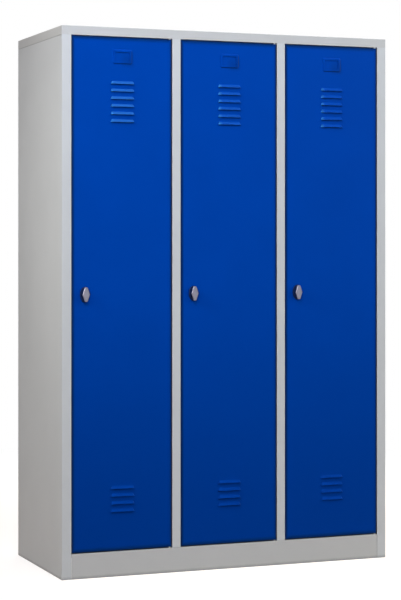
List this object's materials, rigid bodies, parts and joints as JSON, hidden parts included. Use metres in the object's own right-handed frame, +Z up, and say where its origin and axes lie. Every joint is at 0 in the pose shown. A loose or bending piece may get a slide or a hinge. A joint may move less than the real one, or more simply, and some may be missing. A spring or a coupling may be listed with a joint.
{
  "type": "locker cabinet",
  "caption": "Steel clothes locker with hinged louvred doors on turn-handle latches over compartments with hat shelf, coat rail and sliding hooks.",
  "frame": {"origin": "on the floor, under the middle of the carcass's footprint", "axes": "+X to the right seen from the front, doors on the -Y side, +Z up"},
  "size_m": [1.18, 0.517, 1.8],
  "materials": {
    "grey_coat": "light grey powder coat, satin",
    "blue_coat": "gentian blue powder coat, satin",
    "zinc": "bright zinc plated",
    "nickel": "satin nickel plated die casting",
    "black_plastic": "fine grained",
    "nylon": "natural nylon",
    "rubber": "soft black rubber",
    "rail_steel": "drawn zinc plated tube"
  },
  "bodies": {
    "carcass": {"left_side_panel": "grey_coat", "right_side_panel": "grey_coat", "mullion_1": "grey_coat", "mullion_2": "grey_coat", "partition_1": "grey_coat", "partition_2": "grey_coat", "roof_panel": "grey_coat", "back_panel": "grey_coat", "floor_panel": "grey_coat", "plinth_front": "grey_coat", "hinge_pins": "zinc", "door_buffers": "rubber", "rail_sockets": "black_plastic", "hat_shelf_1": "grey_coat", "hat_shelf_2": "grey_coat", "hat_shelf_3": "grey_coat", "coat_rail_1": "rail_steel", "coat_rail_2": "rail_steel", "coat_rail_3": "rail_steel"},
    "door_1": {"door_panel_1": "blue_coat", "door_stiffener_1": "blue_coat", "hinge_bushes_1": "nylon", "handle_rosette_1": "black_plastic", "lock_nut_1": "zinc"},
    "latch_1": {"turn_handle_1": "nickel", "latch_cam_1": "zinc", "cam_screw_1": "zinc"},
    "door_2": {"door_panel_2": "blue_coat", "door_stiffener_2": "blue_coat", "hinge_bushes_2": "nylon", "handle_rosette_2": "black_plastic", "lock_nut_2": "zinc"},
    "latch_2": {"turn_handle_2": "nickel", "latch_cam_2": "zinc", "cam_screw_2": "zinc"},
    "door_3": {"door_panel_3": "blue_coat", "door_stiffener_3": "blue_coat", "hinge_bushes_3": "nylon", "handle_rosette_3": "black_plastic", "lock_nut_3": "zinc"},
    "latch_3": {"turn_handle_3": "nickel", "latch_cam_3": "zinc", "cam_screw_3": "zinc"},
    "coat_hook_1_1": {"coat_hook_1_1": "black_plastic"},
    "coat_hook_1_2": {"coat_hook_1_2": "black_plastic"},
    "coat_hook_2_1": {"coat_hook_2_1": "black_plastic"},
    "coat_hook_2_2": {"coat_hook_2_2": "black_plastic"},
    "coat_hook_3_1": {"coat_hook_3_1": "black_plastic"},
    "coat_hook_3_2": {"coat_hook_3_2": "black_plastic"}
  },
  "joints": [
    {"name": "door_1_hinge", "type": "hinge", "parent": "carcass", "child": "door_1", "pos_m": [-0.21467, -0.244, 0.0825], "axis": [0, 0, 1], "range_deg": [0, 105]},
    {"name": "latch_1_turn", "type": "hinge", "parent": "door_1", "child": "latch_1", "pos_m": [-0.5115, -0.25, 0.9255], "axis": [0, -1, 0], "range_deg": [0, 90]},
    {"name": "door_2_hinge", "type": "hinge", "parent": "carcass", "child": "door_2", "pos_m": [0.16667, -0.244, 0.0825], "axis": [0, 0, 1], "range_deg": [0, 105]},
    {"name": "latch_2_turn", "type": "hinge", "parent": "door_2", "child": "latch_2", "pos_m": [-0.13017, -0.25, 0.9255], "axis": [0, -1, 0], "range_deg": [0, 90]},
    {"name": "door_3_hinge", "type": "hinge", "parent": "carcass", "child": "door_3", "pos_m": [0.548, -0.244, 0.0825], "axis": [0, 0, 1], "range_deg": [0, 105]},
    {"name": "latch_3_turn", "type": "hinge", "parent": "door_3", "child": "latch_3", "pos_m": [0.25117, -0.25, 0.9255], "axis": [0, -1, 0], "range_deg": [0, 90]},
    {"name": "coat_hook_1_1_slide", "type": "slide", "parent": "carcass", "child": "coat_hook_1_1", "axis": [1, 0, 0], "range_m": [-0.084, 0.084]},
    {"name": "coat_hook_1_2_slide", "type": "slide", "parent": "carcass", "child": "coat_hook_1_2", "axis": [1, 0, 0], "range_m": [-0.084, 0.084]},
    {"name": "coat_hook_2_1_slide", "type": "slide", "parent": "carcass", "child": "coat_hook_2_1", "axis": [1, 0, 0], "range_m": [-0.08, 0.08]},
    {"name": "coat_hook_2_2_slide", "type": "slide", "parent": "carcass", "child": "coat_hook_2_2", "axis": [1, 0, 0], "range_m": [-0.08, 0.08]},
    {"name": "coat_hook_3_1_slide", "type": "slide", "parent": "carcass", "child": "coat_hook_3_1", "axis": [1, 0, 0], "range_m": [-0.084, 0.084]},
    {"name": "coat_hook_3_2_slide", "type": "slide", "parent": "carcass", "child": "coat_hook_3_2", "axis": [1, 0, 0], "range_m": [-0.084, 0.084]}
  ]
}
